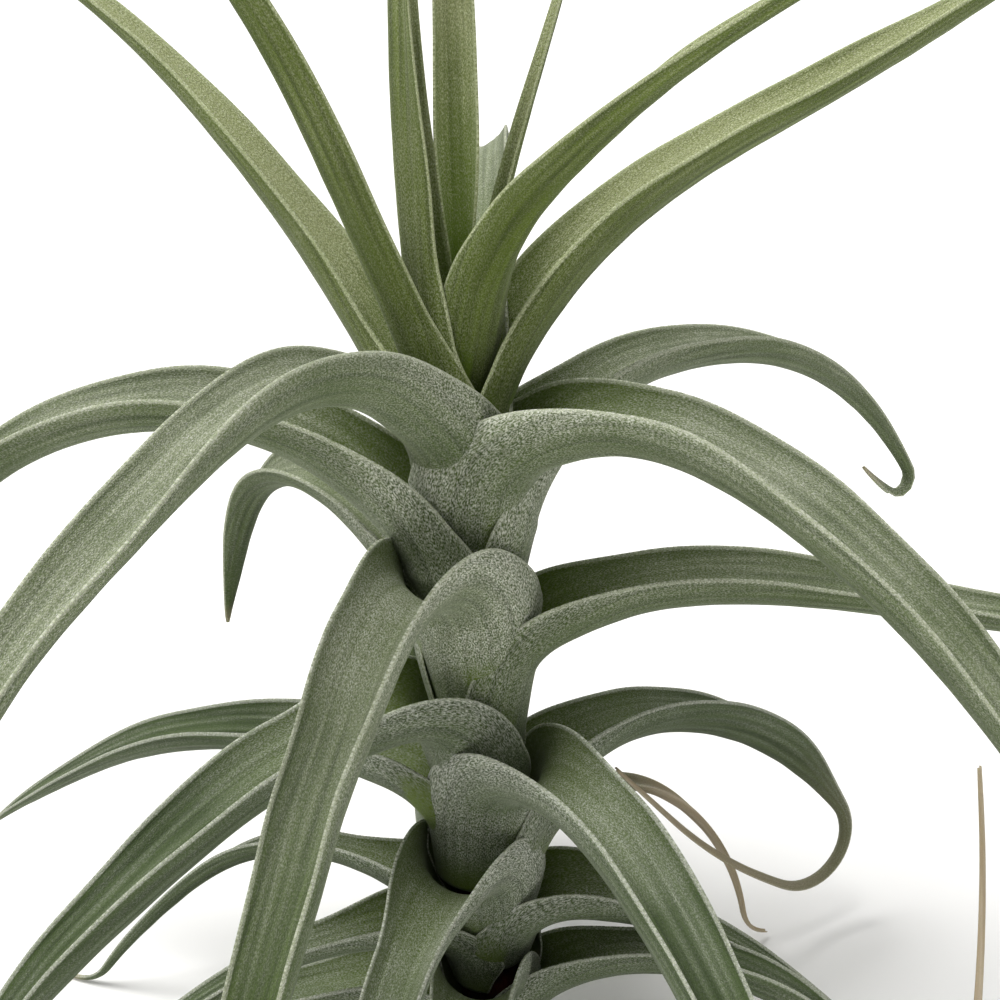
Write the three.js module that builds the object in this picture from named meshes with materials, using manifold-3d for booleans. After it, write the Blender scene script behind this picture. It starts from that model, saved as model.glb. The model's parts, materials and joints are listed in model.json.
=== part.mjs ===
// An air plant: one upright stem wrapped in leaf sheaths, with arching, channelled, silver-scaled
// leaves that spread on all sides. The stem is cut flat at the bottom, and the plant stands on that
// cut and on its lowest leaves, which reach the surface.
// Millimetres, +Z up. The origin is the middle of the cut at the foot of the stem.
// Azimuth 0 points along +X and 90 along +Y. Heading is a leaf's climb above the horizontal.

import * as THREE from 'three';
import { mergeVertices } from 'three/addons/utils/BufferGeometryUtils.js';
import Module from 'manifold-3d';

const wasm = await Module();
wasm.setup();

// ---- Driving dimensions -------------------------------------------------------------------------

const STEM_RADIUS = 5.6;        // the bare stem inside the sheaths
const STEM_TOP = 147;           // growing tip, hidden among the youngest leaves
const STEM_TIP_RADIUS = 0.5;
const STEM_SIDES = 20;

const NODE_RADIUS = 7.0;        // where a sheath starts, on its outer face
const SHEATH_FLARE = 0.26;      // how much a sheath widens per millimetre of height
const SHEATH_WRAP = 150;        // a sheath reaches this far round the stem to each side, in degrees
const MOUTH_WRAP = 107;
const BLADE_WRAP = 92;          // the same for the margins of a blade's channel, seen from its centre
const SHEATH_WALL = 0.62;
const BLADE_WALL = 1.8;         // fleshy middle of the blade
const EDGE_WALL = 0.4;          // share of the wall left at the margin
const TIP_WALL = 0.25;
const MOST_WALL = 0.7;          // no wall is thicker than this share of its channel's radius
const CLEAR_ABOVE_MOUTH = 2;    // a leaf keeps off what it wraps until this far above its mouth
const GAP = 0.3;                // room left where one leaf presses past another
const STEM_GAP = 0.12;          // room left between a sheath and the stem that it clasps

const CHANNEL_RADIUS = 6.7;     // round channel of a full-size blade
const TIP_RADIUS = 0.45;
const WITHERED = 0.22;          // share of its width that a withered length of blade keeps
const KEEL = 0.14;              // how far the fold stands out below the channel, per radius
const KEEL_WIDTH = 0.45;        // radians
const KEEL_FROM = 2;            // distances beyond the mouth between which the keel grows
const KEEL_DONE = 22;

// From the mouth to the neck's end a section tilts, narrows and thickens from sheath to blade. These
// are distances beyond the mouth.
const TILT_DONE = 17;
const NARROW_DONE = 26;
const THICK_FROM = -3;
const THICK_DONE = 18;
const WRAP_NEARLY_DONE = 9;
const WRAP_DONE = 28;
const MOUTH_SLACK = 0.4;        // a neck is no wider than its mouth and this much more
const LATE_WRAP = 86;           // the margins draw together before the tip, and open again at it
const LATE_AT = 0.7;            // share of the leaf's length
const TIP_WRAP = 95;

// Headings of a blade are given at these distances beyond the mouth of its sheath.
const HEADING_AT = [0, 8, 18, 32, 55, 85, 120, 160];
const LANDING_RADIUS = 14;      // bend of a leaf where it comes down on the surface
const LYING_HEIGHT = 0.9;       // fold line above the surface where the leaf lies on its keel
const CURLED_UNDER = -92;       // past this heading a leaf is curling and no longer lands

const SPINE_STEP = 1;           // integration step along a leaf
const SECTION_POINTS = 7;       // points across each face of a section
const SHEATH_RINGS = 2;
const NECK_RINGS = [5, 10, 16, 24, 34];  // distances beyond the mouth
const ROLL_DONE = 60;           // a blade has turned about its fold this far beyond the mouth
const BLADE_RING_STEP = 17;
const LEAST_BLADE_RINGS = 5;
const CURL_RINGS = 5;
const LEAST_RING_STEP = 1.5;

// Leaves from the foot to the top. azimuth: degrees. node, mouth: heights where the sheath starts and
// where the blade leaves it. blade: length beyond the mouth. headings: degrees at HEADING_AT.
// width: share of a full-size blade. Optional: nodeRadius and mouthRadius of a sheath; wrap and
// mouthWrap: degrees that it reaches round the stem to each side, at its node and at its mouth;
// slim: lower for a blade that thins early; roll: degrees that a blade turns about its fold;
// wither: distances beyond the mouth between which a blade shrinks to a thread;
// curl: [degrees, start, length] of a curled end.
const LEAVES = [
  { name: 'leaf_01', azimuth: 178, node: 1.5, mouth: 9.5, blade: 95, width: 0.9,
    headings: [30, -2, -14, -22, -25, -25, -25] },
  { name: 'leaf_02', azimuth: 342, node: 6, mouth: 14.2, blade: 164, width: 0.77, slim: 1.8, roll: 20,
    wrap: 100, mouthWrap: 100, wither: [50, 100], headings: [48, 27, 5, -27, -45, -45, -40],
    curl: [-137, 76, 27] },
  { name: 'leaf_03', azimuth: 262, node: 10.5, mouth: 21, blade: 75, width: 0.85,
    headings: [28, -22, -40, -50, -50, -50, -50] },
  { name: 'leaf_04', azimuth: 100, node: 15, mouth: 27, blade: 105, width: 0.9, wrap: 105,
    headings: [40, 10, -20, -38, -40, -40, -40] },
  { name: 'leaf_05', azimuth: 198, node: 24, mouth: 30, blade: 105, width: 0.72, slim: 1, roll: -12,
    wrap: 70, mouthWrap: 92, mouthRadius: 8.8, headings: [14, 5, -11, -29, -44, -58, -40] },
  { name: 'leaf_06', azimuth: 160, node: 28, mouth: 32.5, blade: 110, width: 0.65, slim: 1, roll: -25,
    wrap: 90, mouthWrap: 95, nodeRadius: 7.4, mouthRadius: 8.4,
    headings: [26, 16, -4, -36, -49, -57, -48] },
  { name: 'leaf_07', azimuth: -6, node: 30, mouth: 34, blade: 100, width: 0.8, slim: 1, roll: 12,
    wrap: 85, mouthWrap: 112, nodeRadius: 8.2, mouthRadius: 9.6,
    headings: [4, -10, -25, -38, -52, -67, -40] },
  { name: 'leaf_08', azimuth: 249, node: 33, mouth: 46.5, blade: 90, width: 0.81, slim: 2.3, roll: -15,
    wrap: 125, mouthWrap: 115, mouthRadius: 11.2, headings: [6, -9, -23, -38, -50, -61, -70] },
  { name: 'leaf_09', azimuth: 33, node: 37.5, mouth: 48, blade: 92, width: 0.35, slim: 0.9, roll: -10,
    wrap: 110, mouthRadius: 10.3, headings: [18, -4, -33, -57, -82, -111, -66] },
  { name: 'leaf_10', azimuth: 92, node: 41, mouth: 50, blade: 110, width: 0.85, wrap: 95,
    mouthWrap: 85, mouthRadius: 10.6, headings: [42, 12, -22, -48, -60, -70, -70] },
  { name: 'leaf_11', azimuth: 28, node: 45, mouth: 53.7, blade: 182, width: 1, slim: 1.7, roll: 16,
    wrap: 98, mouthWrap: 98, mouthRadius: 10.8, wither: [60, 104],
    headings: [41, 18, -11, -32, -50, -50, -66], curl: [164, 89, 35] },
  { name: 'leaf_12', azimuth: 303, node: 48.5, mouth: 63.6, blade: 145, width: 1.06, slim: 2.6,
    roll: 20, wrap: 130, mouthWrap: 112, nodeRadius: 9.4, mouthRadius: 10.8,
    headings: [30, 4, -23, -42, -62, -83, -60] },
  { name: 'leaf_13', azimuth: 153, node: 52, mouth: 56.5, blade: 130, width: 1.15, slim: 1.3, roll: 10,
    mouthWrap: 135, nodeRadius: 8, mouthRadius: 9.5, headings: [15, 8, -2, -15, -30, -36, -50] },
  { name: 'leaf_14', azimuth: 212, node: 61, mouth: 76.7, blade: 140, width: 1.2, slim: 1.5, roll: -10,
    mouthWrap: 101, headings: [8, -3, -15, -29, -41, -54, -60] },
  { name: 'leaf_15', azimuth: 88, node: 66, mouth: 78, blade: 130, width: 0.85, wrap: 85,
    mouthWrap: 62, mouthRadius: 9.3, headings: [45, 18, -12, -38, -50, -60, -70] },
  { name: 'leaf_16', azimuth: 0, node: 70, mouth: 87.8, blade: 160, width: 1.14, slim: 1.1, roll: -6,
    mouthWrap: 100, mouthRadius: 9.9, headings: [36, 22, 3, -9, -9, -13, -80] },
  { name: 'leaf_17', azimuth: 100, node: 75.5, mouth: 93, blade: 140, width: 0.9, wrap: 116,
    mouthWrap: 110, mouthRadius: 10.95, headings: [45, 14, -16, -42, -56, -66, -75] },
  { name: 'leaf_18', azimuth: 248, node: 81, mouth: 101.4, blade: 150, width: 1.06, slim: 1.9,
    roll: -18, mouthWrap: 103, nodeRadius: 7.4, mouthRadius: 12,
    headings: [40, 4, -31, -30, -43, -72, -80] },
  { name: 'leaf_19', azimuth: 138, node: 88, mouth: 98, blade: 90, width: 1.11, slim: 1.5, roll: 20,
    mouthWrap: 97, mouthRadius: 10.3, headings: [34, 32, 12, -51, -68, -91, -70] },
  { name: 'leaf_20', azimuth: 180, node: 95, mouth: 109.4, blade: 160, width: 1.25, slim: 1.4, roll: 5,
    mouthRadius: 11.6, headings: [59, 47, 27, -2, -38, -79, -70] },
  { name: 'leaf_21', azimuth: 35, node: 100, mouth: 115.4, blade: 140, width: 1.3, slim: 0.8, roll: -2,
    mouthWrap: 112, mouthRadius: 10.7, headings: [51, 36, 14, -8, -34, -52, -75],
    curl: [159, 121, 8] },
  { name: 'leaf_22', azimuth: 327, node: 105, mouth: 123.2, blade: 172, width: 1.09, slim: 2.2,
    roll: 1, mouthWrap: 138, mouthRadius: 10.6, headings: [41, 21, -7, -27, -44, -54, -50] },
  { name: 'leaf_23', azimuth: 234, node: 111, mouth: 127.8, blade: 176, width: 1.2, slim: 1.1,
    roll: -5, mouthWrap: 110, nodeRadius: 6.8, mouthRadius: 9.6,
    headings: [52, 42, 20, -13, -24, -53, -72] },
  { name: 'leaf_24', azimuth: 154, node: 117, mouth: 128.2, blade: 130, width: 1.15, slim: 0.9,
    roll: -2, mouthWrap: 95, nodeRadius: 6.3, mouthRadius: 8.6,
    headings: [60, 58, 55, 50, 41, 29, 20] },
  { name: 'leaf_25', azimuth: 206, node: 123, mouth: 134, blade: 130, width: 0.64, slim: 2.4, roll: 6,
    nodeRadius: 5.6, mouthRadius: 7, headings: [75, 72, 69, 67, 60, 52, 20] },
  { name: 'leaf_26', azimuth: 86, node: 127, mouth: 136, blade: 130, width: 0.9, nodeRadius: 5,
    headings: [62, 53, 41, 8, -38, -60, -65] },
  { name: 'leaf_27', azimuth: 18, node: 131, mouth: 136, blade: 160, width: 1.08, slim: 1.2,
    nodeRadius: 4.5, mouthRadius: 6.3, headings: [65, 53, 40, 25, 26, 23, -20] },
  { name: 'leaf_28', azimuth: 175, node: 136, mouth: 142.6, blade: 110, width: 0.8, slim: 2.6,
    roll: -11, nodeRadius: 3.6, mouthRadius: 6.7, headings: [88, 87, 88, 91, 93, 95, 82] },
  { name: 'leaf_29', azimuth: 307, node: 141, mouth: 149.4, blade: 125, width: 0.8, slim: 0.8,
    roll: -15, nodeRadius: 3, mouthRadius: 5.6, headings: [71, 56, 42, 34, 28, 19, 0] },
  { name: 'leaf_30', azimuth: 34, node: 145.5, mouth: 148.7, blade: 75, width: 0.2, slim: 1.9,
    roll: -5, nodeRadius: 2.2, mouthRadius: 2.9, headings: [76, 74, 70, 66, 61, 54, 45] },
  { name: 'leaf_31', azimuth: 90, node: 148.5, mouth: 160, blade: 100, width: 0.5, nodeRadius: 1.4,
    mouthRadius: 1.6, headings: [88, 90, 89, 84, 76, 62, 50] },
];

const radians = THREE.MathUtils.degToRad;
const smooth = (x, a, b) => THREE.MathUtils.smoothstep(x, a, b);
const mix = THREE.MathUtils.lerp;

// ---- Curves -------------------------------------------------------------------------------------

/** Smooth curve through the points (xs, ys), with slopes taken from the neighbours. */
function throughPoints(x, xs, ys) {
  let i = 0;
  while (i < xs.length - 2 && x > xs[i + 1]) i += 1;
  const slope = (k) => {
    const last = xs.length - 1;
    const rise = (j) => (ys[j + 1] - ys[j]) / (xs[j + 1] - xs[j]);
    if (k === 0) return rise(0);
    if (k === last) return rise(last - 1);
    const before = xs[k] - xs[k - 1];
    const after = xs[k + 1] - xs[k];
    return (rise(k - 1) * after + rise(k) * before) / (before + after);
  };
  const h = xs[i + 1] - xs[i];
  const t = Math.min((x - xs[i]) / h, 1);
  return (2 * t ** 3 - 3 * t ** 2 + 1) * ys[i] + (t ** 3 - 2 * t ** 2 + t) * h * slope(i)
    + (3 * t ** 2 - 2 * t ** 3) * ys[i + 1] + (t ** 3 - t ** 2) * h * slope(i + 1);
}

/** Straight lines through the points (xs, ys), level beyond both ends. */
function throughLines(x, xs, ys) {
  if (x <= xs[0]) return ys[0];
  for (let i = 1; i < xs.length; i += 1) {
    if (x <= xs[i]) return mix(ys[i - 1], ys[i], (x - xs[i - 1]) / (xs[i] - xs[i - 1]));
  }
  return ys[ys.length - 1];
}

/** The sheath's own measures: start, mouth, length and climb. */
function sheathOf(leaf) {
  const nodeRadius = leaf.nodeRadius ?? NODE_RADIUS;
  const rise = leaf.mouth - leaf.node;
  const mouthRadius = leaf.mouthRadius ?? nodeRadius + SHEATH_FLARE * rise;
  const length = Math.hypot(rise, mouthRadius - nodeRadius);
  return { nodeRadius, mouthRadius, length, climb: Math.atan2(rise, mouthRadius - nodeRadius) };
}

/** Steepest fall, in radians, that still lands a leaf softly from this height. */
function steepestFall(height) {
  if (height >= LANDING_RADIUS) return -Math.PI;
  return -Math.acos(1 - Math.max(height, 0) / LANDING_RADIUS);
}

/** The fold line of a leaf from its node to its tip, one point per step, with its headings. */
function foldLine(leaf) {
  const sheath = sheathOf(leaf);
  const total = sheath.length + leaf.blade;
  const steps = Math.round(total / SPINE_STEP);
  const step = total / steps;
  const headings = [THREE.MathUtils.radToDeg(sheath.climb), ...leaf.headings];
  const lastKnot = HEADING_AT[HEADING_AT.length - 1];
  const azimuth = radians(leaf.azimuth);
  const at = new THREE.Vector3(Math.cos(azimuth), Math.sin(azimuth), 0)
    .multiplyScalar(sheath.nodeRadius).setZ(leaf.node);
  const line = [];
  let before = sheath.climb;
  for (let i = 0; i <= steps; i += 1) {
    const along = i * step;
    const beyond = Math.max(along - sheath.length, 0);
    let degrees = throughPoints(Math.min(beyond, lastKnot), HEADING_AT, headings);
    if (leaf.curl) degrees -= leaf.curl[0] * smooth(beyond, leaf.curl[1], leaf.curl[1] + leaf.curl[2]);
    let heading = radians(degrees);
    if (degrees > CURLED_UNDER) heading = Math.max(heading, steepestFall(at.z - LYING_HEIGHT));
    if (i > 0) {
      const climb = (heading + before) / 2;
      at.x += step * Math.cos(climb) * Math.cos(azimuth);
      at.y += step * Math.cos(climb) * Math.sin(azimuth);
      at.z += step * Math.sin(climb);
    }
    line.push({ along, beyond, heading, point: at.clone() });
    before = heading;
  }
  return line;
}

// ---- One leaf -----------------------------------------------------------------------------------

/** How far from the axis the inner face stays at each height, so that a leaf clears what it wraps. */
function clearRadius(sheath, leaf) {
  const flare = (sheath.mouthRadius - sheath.nodeRadius) / (leaf.mouth - leaf.node);
  return (height) => {
    const up = Math.min(height, leaf.mouth + CLEAR_ABOVE_MOUTH) - leaf.node;
    return sheath.nodeRadius - SHEATH_WALL - TIP_WALL + flare * up;
  };
}

/** Moves a point straight away from the stem's axis. */
function pushOut(p, distance) {
  const now = Math.hypot(p.x, p.y);
  p.x *= 1 + distance / now;
  p.y *= 1 + distance / now;
}

/** Both faces of the leaf's channelled section at one place on the fold line. */
function sectionAt(leaf, place, grow) {
  const sheath = sheathOf(leaf);
  const { along, beyond, heading, point } = place;
  const azimuth = radians(leaf.azimuth);
  const share = beyond / leaf.blade;
  const total = sheath.length + leaf.blade;

  // The section is level in the sheath and turns square to the fold line in the neck.
  const turn = smooth(along, 0.5 * sheath.length, sheath.length + TILT_DONE);
  const tilt = mix(Math.PI / 2, heading, turn);
  const outward = new THREE.Vector3(Math.cos(azimuth), Math.sin(azimuth), 0);
  const across = new THREE.Vector3(-Math.sin(azimuth), Math.cos(azimuth), 0);
  const inward = outward.clone().multiplyScalar(-Math.sin(tilt)).setZ(Math.cos(tilt));
  const roll = radians(leaf.roll ?? 0) * smooth(beyond, 0, ROLL_DONE);
  const side = across.clone().multiplyScalar(Math.cos(roll)).addScaledVector(inward, -Math.sin(roll));
  const depth = inward.clone().multiplyScalar(Math.cos(roll)).addScaledVector(across, Math.sin(roll));

  const slimness = Math.max(1 - share ** (leaf.slim ?? 2), 0) ** 0.9;
  const withered = leaf.wither ? smooth(beyond, ...leaf.wither) : 0;
  const channel = CHANNEL_RADIUS * leaf.width * slimness * mix(1, WITHERED, withered) + TIP_RADIUS;
  const stemRadius = Math.min(Math.hypot(point.x, point.y), sheath.mouthRadius + MOUTH_SLACK);
  const narrowing = smooth(along, 0.9 * sheath.length, sheath.length + NARROW_DONE);
  const radius = mix(stemRadius, channel, narrowing);
  const wrap = leaf.wrap ?? SHEATH_WRAP;
  const mouthWrap = leaf.mouthWrap ?? MOUTH_WRAP;
  const reach = radians(throughLines(along,
    [0, 0.6 * sheath.length, sheath.length + 1, sheath.length + WRAP_NEARLY_DONE,
      sheath.length + WRAP_DONE, LATE_AT * total, total],
    [wrap, mix(wrap, mouthWrap, 0.4), mouthWrap, mix(mouthWrap, BLADE_WRAP, 0.66), BLADE_WRAP,
      LATE_WRAP, TIP_WRAP]));
  const flesh = mix(SHEATH_WALL, BLADE_WALL,
    smooth(along, sheath.length + THICK_FROM, sheath.length + THICK_DONE));
  const fullWall = flesh * Math.sqrt(Math.max(1 - share, 0)) * mix(leaf.width, 1, 0.3) + TIP_WALL;
  const wall = Math.min(fullWall, MOST_WALL * radius);
  const keel = KEEL * channel * smooth(beyond, KEEL_FROM, KEEL_DONE);

  const clear = clearRadius(sheath, leaf);
  const outer = [];
  const inner = [];
  for (let j = 0; j < SECTION_POINTS; j += 1) {
    const t = 2 * j / (SECTION_POINTS - 1) - 1;
    const angle = t * (reach + grow / radius);
    const sink = radius * (1 - Math.cos(angle)) - keel * Math.exp(-((angle / KEEL_WIDTH) ** 2));
    const outerPoint = point.clone().addScaledVector(depth, sink)
      .addScaledVector(side, radius * Math.sin(angle));
    const thick = wall * (1 - (1 - EDGE_WALL) * t * t);
    const towardsInside = depth.clone().multiplyScalar(Math.cos(angle))
      .addScaledVector(side, -Math.sin(angle));
    const innerPoint = outerPoint.clone().addScaledVector(towardsInside, thick + grow);
    outerPoint.addScaledVector(towardsInside, -grow);
    const push = clear(innerPoint.z) - grow - Math.hypot(innerPoint.x, innerPoint.y);
    if (push > 0) [outerPoint, innerPoint].forEach((p) => pushOut(p, push));
    outer.push(outerPoint);
    inner.push(innerPoint);
  }
  return { outer, inner };
}

/** Places of the rings along a leaf: close together at the neck and in a curl, wider apart between. */
function ringPlaces(leaf) {
  const { length } = sheathOf(leaf);
  const places = [];
  for (let i = 0; i < SHEATH_RINGS; i += 1) places.push(length * i / SHEATH_RINGS);
  places.push(length);
  NECK_RINGS.forEach((distance) => places.push(length + distance));
  const from = NECK_RINGS[NECK_RINGS.length - 1];
  const count = Math.max(Math.round((leaf.blade - from) / BLADE_RING_STEP), LEAST_BLADE_RINGS);
  for (let i = 1; i <= count; i += 1) places.push(length + mix(from, leaf.blade, i / count));
  if (leaf.curl) {
    const [, start, span] = leaf.curl;
    for (let i = 0; i <= CURL_RINGS; i += 1) places.push(length + start + span * i / CURL_RINGS);
  }
  places.sort((a, b) => a - b);
  return places.filter((place, i) => i === 0 || place - places[i - 1] > LEAST_RING_STEP);
}

/** Closed solid of one leaf: its outer face, inner face, margins and both ends. grow swells it. */
function leafGeometry(leaf, grow = 0) {
  const line = foldLine(leaf);
  const step = line[1].along;
  const rings = ringPlaces(leaf).map((along) => {
    const place = line[Math.min(Math.round(along / step), line.length - 1)];
    const { outer, inner } = sectionAt(leaf, place, grow);
    return [...outer, ...inner.reverse()];
  });
  rings[0].forEach((p) => { p.z -= grow; });
  const around = 2 * SECTION_POINTS;
  const triangles = [];
  for (let i = 0; i + 1 < rings.length; i += 1) {
    for (let j = 0; j < around; j += 1) {
      const k = (j + 1) % around;
      const a = i * around;
      const b = a + around;
      triangles.push(a + j, a + k, b + j, a + k, b + k, b + j);
    }
  }
  const endCap = (first, facingBack) => {
    for (let j = 0; j + 1 < SECTION_POINTS; j += 1) {
      const quad = [j, j + 1, around - 2 - j, around - 1 - j].map((v) => first + v);
      const [a, b, c, d] = facingBack ? [...quad].reverse() : quad;
      triangles.push(a, b, c, a, c, d);
    }
  };
  endCap(0, true);
  endCap((rings.length - 1) * around, false);
  const geometry = new THREE.BufferGeometry();
  geometry.setAttribute('position', new THREE.Float32BufferAttribute(
    rings.flat().flatMap((p) => [p.x, p.y, p.z]), 3));
  geometry.setIndex(triangles);
  geometry.computeVertexNormals();
  return geometry;
}

// ---- Making room for the leaves inside -----------------------------------------------------------

function solidOf(geometry) {
  const plain = geometry.clone();
  plain.deleteAttribute('normal');
  plain.deleteAttribute('uv');
  const merged = mergeVertices(plain, 1e-5);
  return new wasm.Manifold(new wasm.Mesh({
    numProp: 3,
    vertProperties: merged.attributes.position.array,
    triVerts: merged.index.array,
  }));
}

function geometryOf(solid) {
  const { numProp, vertProperties, triVerts } = solid.getMesh();
  const positions = [];
  for (let i = 0; i < vertProperties.length; i += numProp) {
    positions.push(...vertProperties.subarray(i, i + 3));
  }
  const geometry = new THREE.BufferGeometry();
  geometry.setAttribute('position', new THREE.Float32BufferAttribute(positions, 3));
  geometry.setIndex(Array.from(triVerts));
  geometry.computeVertexNormals();
  return geometry;
}

/** The leaf without what the stem and the leaves inside it press away, and without loose slivers. */
function makeRoom(geometry, inner) {
  let solid = solidOf(geometry);
  let touched = false;
  inner.forEach((inside) => {
    if (solid.intersect(inside).volume() < 1e-6) return;
    solid = solid.subtract(inside);
    touched = true;
  });
  if (!touched) return geometry;
  const pieces = solid.decompose().sort((a, b) => b.volume() - a.volume());
  return geometryOf(pieces[0]);
}

// ---- Stem ---------------------------------------------------------------------------------------

/** The stem: a straight rod that thins to its growing tip among the youngest leaves. */
function stemGeometry(grow = 0) {
  const side = [
    [STEM_RADIUS, -grow], [STEM_RADIUS, 112], [4.4, 124], [3.2, 133], [1.9, 140],
    [STEM_TIP_RADIUS, STEM_TOP + grow],
  ].map(([radius, height]) => new THREE.Vector2(radius + grow, height));
  const profile = [new THREE.Vector2(0, -grow), ...side, new THREE.Vector2(0, STEM_TOP + grow)];
  return new THREE.LatheGeometry(profile, STEM_SIDES).rotateX(Math.PI / 2);
}

// ---- Assembly -----------------------------------------------------------------------------------

const OLD_LEAF = new THREE.Color('#6f7f65');
const YOUNG_LEAF = new THREE.Color('#5e7a3a');

const airPlant = new THREE.Group();

const stem = new THREE.Mesh(stemGeometry(),
  new THREE.MeshStandardMaterial({ color: '#3b2c20', roughness: 0.95, metalness: 0 }));
stem.name = 'stem';
airPlant.add(stem);

const grownStem = solidOf(stemGeometry(STEM_GAP));
const grownLeaves = LEAVES.map((leaf) => solidOf(leafGeometry(leaf, GAP)));
LEAVES.forEach((leaf, order) => {
  const youth = leaf.node / STEM_TOP;
  const material = new THREE.MeshStandardMaterial({
    color: OLD_LEAF.clone().lerp(YOUNG_LEAF, youth ** 2), roughness: 0.8, metalness: 0,
  });
  const inner = [grownStem, ...grownLeaves.slice(order + 1)];
  const blade = new THREE.Mesh(makeRoom(leafGeometry(leaf), inner), material);
  blade.name = leaf.name;
  airPlant.add(blade);
});

export default airPlant;
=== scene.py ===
"""A silver-leaved air plant on a pale floor: one upright stem, clasped by the sheaths of arching,
channelled leaves that are felted with fine scales. Lengths below are in millimetres; they become
metres where a mesh, a light or the camera is made. Azimuth 0 points along +X and 90 along +Y."""

import json
import math

import bpy
import numpy as np
from mathutils import Matrix, Vector


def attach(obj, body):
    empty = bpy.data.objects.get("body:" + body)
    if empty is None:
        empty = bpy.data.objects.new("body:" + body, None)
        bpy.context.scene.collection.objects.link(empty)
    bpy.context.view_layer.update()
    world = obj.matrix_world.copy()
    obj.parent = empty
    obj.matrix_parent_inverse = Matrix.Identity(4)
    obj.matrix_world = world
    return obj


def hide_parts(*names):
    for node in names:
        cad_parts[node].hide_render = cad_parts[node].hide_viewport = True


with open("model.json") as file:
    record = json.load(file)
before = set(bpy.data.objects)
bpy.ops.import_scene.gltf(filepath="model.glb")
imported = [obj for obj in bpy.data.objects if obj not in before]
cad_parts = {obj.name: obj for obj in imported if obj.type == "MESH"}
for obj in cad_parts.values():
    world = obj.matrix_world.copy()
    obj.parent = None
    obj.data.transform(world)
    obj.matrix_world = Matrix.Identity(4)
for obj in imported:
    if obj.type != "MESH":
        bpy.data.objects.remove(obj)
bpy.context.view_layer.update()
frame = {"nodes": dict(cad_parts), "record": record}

MM = 0.001

# ---- Measures of the plant ----------------------------------------------------------------------

NODE_RADIUS = 7.0        # where a sheath starts, on its outer face
SHEATH_FLARE = 0.26      # how much a sheath widens per millimetre of height
SHEATH_WRAP = 150.0      # a sheath reaches this far round the stem to each side, in degrees
MOUTH_WRAP = 107.0
BLADE_WRAP = 92.0        # the same for the margins of a blade's channel, seen from its centre
SHEATH_WALL = 0.62
BLADE_WALL = 1.8         # fleshy middle of the blade
EDGE_WALL = 0.34         # share of the wall left at the margin
TIP_WALL = 0.25
SLIM_WALL = 0.3          # a narrow leaf's wall is thinner too, but for this share of the difference
MOST_WALL = 0.7          # no wall is thicker than this share of its channel's radius
CLEAR_ABOVE_MOUTH = 2.0  # a leaf keeps off what it wraps until this far above its mouth
MOUTH_SLACK = 0.4        # how far past its mouth radius a sheath may still follow the fold
LATE_WRAP = 86.0         # wrap of a blade's margins at LATE_AT of the leaf's length, in degrees
LATE_AT = 0.7
TIP_WRAP = 95.0

CHANNEL_RADIUS = 6.7     # round channel of a full-size blade
TIP_RADIUS = 0.45
WITHERED = 0.22          # share of its width that a withered length of blade keeps
KEEL = 0.14              # how far the fold stands out below the channel, per radius
KEEL_WIDTH = 0.45        # radians
SLIM_POWER = 0.9         # how fast the last of a blade narrows to its tip

# In the neck the sheath turns into a blade. TILT_FROM and NARROW_FROM are shares of the sheath's
# length, and the rest are distances beyond its mouth.
TILT_FROM, TILT_DONE = 0.5, 17.0        # the section turns from level to square to the fold
NARROW_FROM, NARROW_DONE = 0.9, 26.0    # its radius turns from the sheath's to the channel's
THICK_FROM, THICK_DONE = -3.0, 18.0     # its wall thickens to a blade's
KEEL_FROM, KEEL_DONE = 2.0, 22.0
WRAP_HELD = 1.0                         # a mouth keeps its own wrap until here
WRAP_NEARLY_DONE, WRAP_DONE = 9.0, 28.0
NEARLY_DONE = 0.66
SHEATH_OPENS = (0.6, 0.4)               # at this share of its length a sheath has opened by this share

HEADING_AT = (0, 8, 18, 32, 55, 85, 120, 160)   # distances beyond the mouth
LANDING_RADIUS = 14.0    # bend of a leaf where it comes down on the surface
LYING_HEIGHT = 0.9       # fold line above the surface where the leaf lies on its keel
CURLED_UNDER = -92.0     # past this heading a leaf is curling and no longer lands
ROLL_DONE = 60.0         # a blade has turned about its fold this far beyond the mouth

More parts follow.
